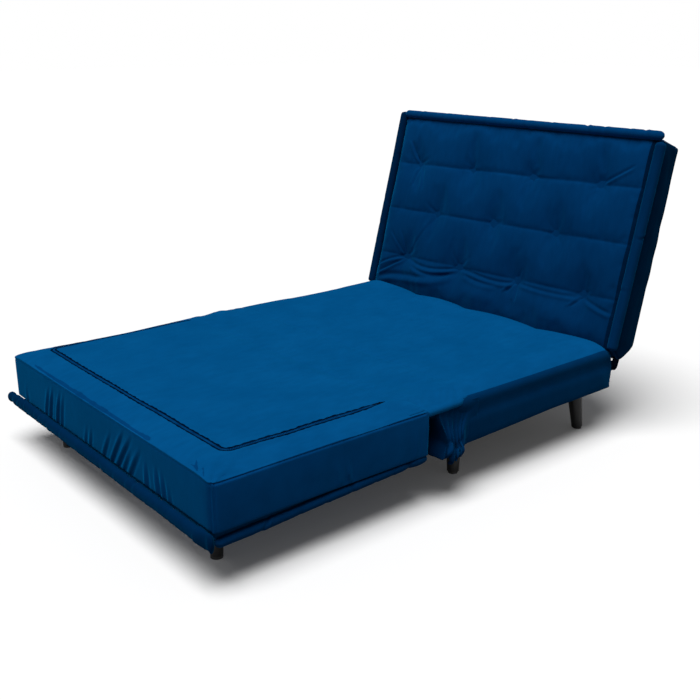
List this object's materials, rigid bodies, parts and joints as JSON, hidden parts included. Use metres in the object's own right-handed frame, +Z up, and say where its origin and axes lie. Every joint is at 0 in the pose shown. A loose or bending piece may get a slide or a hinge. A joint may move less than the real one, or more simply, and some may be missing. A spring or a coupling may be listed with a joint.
{
  "type": "futon sofa bed",
  "caption": "Velvet click-clack sofa bed with a flip-out front section on folding feet, a reclining tufted backrest with padded roll edges and splayed tapered legs.",
  "frame": {"origin": "on the floor, under the centre of the overall box in the pictured position, with the front section folded out and the backrest up", "axes": "+Z up, +Y from the fold-out's front towards the backrest, +X to the right of someone who looks along +Y at the front"},
  "size_m": [1.068, 1.5747, 0.8444],
  "materials": {
    "velvet": "short velvet pile, royal blue",
    "timber": "planed pine, unfinished",
    "foam": "open-cell foam",
    "webbing": "elastic webbing",
    "dust_cloth": "thin non-woven black cloth",
    "leg_black": "black satin lacquer",
    "glide": "moulded",
    "steel": "zinc plated",
    "zip": "coil zip on dark tape",
    "zip_metal": "dark enamel"
  },
  "bodies": {
    "base": {"base_side_rails": "timber", "base_front_rail": "timber", "base_centre_rail": "timber", "base_rear_rail": "timber", "base_corner_blocks": "timber", "base_slats": "timber", "base_foam": "foam", "base_cover": "velvet", "base_dust_cover": "dust_cloth", "leg_front_left": "leg_black", "leg_front_right": "leg_black", "leg_rear_left": "leg_black", "leg_rear_right": "leg_black", "leg_plates": "steel", "leg_bolts": "steel", "leg_glides": "glide", "recline_plate_left": "steel", "recline_plate_right": "steel", "recline_pins": "steel", "fold_base_brackets": "steel", "fold_base_pins": "steel", "crease_strip": "velvet", "crease_gussets": "velvet"},
    "fold_links": {"fold_links": "steel"},
    "fold_out": {"fold_side_rails": "timber", "fold_front_rail": "timber", "fold_centre_rail": "timber", "fold_rear_rail": "timber", "fold_slats": "timber", "fold_foam": "foam", "fold_seat_foam": "foam", "fold_cover": "velvet", "fold_seat_panel": "velvet", "fold_roll_front": "velvet", "fold_roll_left": "velvet", "fold_roll_right": "velvet", "fold_brackets": "steel", "fold_link_pins": "steel", "fold_leg_boards": "timber", "fold_leg_brackets": "steel", "fold_leg_pins": "steel", "zip_tape": "zip"},
    "fold_leg_left": {"fold_leg_left": "leg_black", "fold_leg_cap_left": "glide"},
    "fold_leg_right": {"fold_leg_right": "leg_black", "fold_leg_cap_right": "glide"},
    "zip_slider": {"zip_slider": "zip_metal"},
    "backrest": {"back_stiles": "timber", "back_rails": "timber", "back_straps": "webbing", "back_foam": "foam", "back_cover": "velvet", "back_panel": "velvet", "back_roll_left": "velvet", "back_roll_right": "velvet", "back_roll_top": "velvet", "recline_arm_left": "steel", "recline_arm_right": "steel"}
  },
  "joints": [
    {"name": "link_lift", "type": "hinge", "parent": "base", "child": "fold_links", "pos_m": [0, -0.09285, 0.24], "axis": [-1, 0, 0], "range_deg": [0, 90], "deforming": ["crease_strip", "crease_gussets"]},
    {"name": "fold_over", "type": "hinge", "parent": "fold_links", "child": "fold_out", "pos_m": [0, -0.15885, 0.24], "axis": [-1, 0, 0], "range_deg": [0, 90]},
    {"name": "foot_fold_left", "type": "hinge", "parent": "fold_out", "child": "fold_leg_left", "pos_m": [-0.387, -0.67685, 0.168], "axis": [1, 0, 0], "range_deg": [0, 90]},
    {"name": "foot_fold_right", "type": "hinge", "parent": "fold_out", "child": "fold_leg_right", "pos_m": [0.387, -0.67685, 0.168], "axis": [1, 0, 0], "range_deg": [0, 90]},
    {"name": "zip_run", "type": "slide", "parent": "fold_out", "child": "zip_slider", "axis": [0, -1, 0], "range_m": [0, 0.4]},
    {"name": "recline", "type": "hinge", "parent": "base", "child": "backrest", "pos_m": [0, 0.58515, 0.194], "axis": [-1, 0, 0], "range_deg": [-5, 75.5]}
  ],
  "couplings": [
    {"joint": "link_lift", "follows": "fold_over", "ratio": 1}
  ]
}
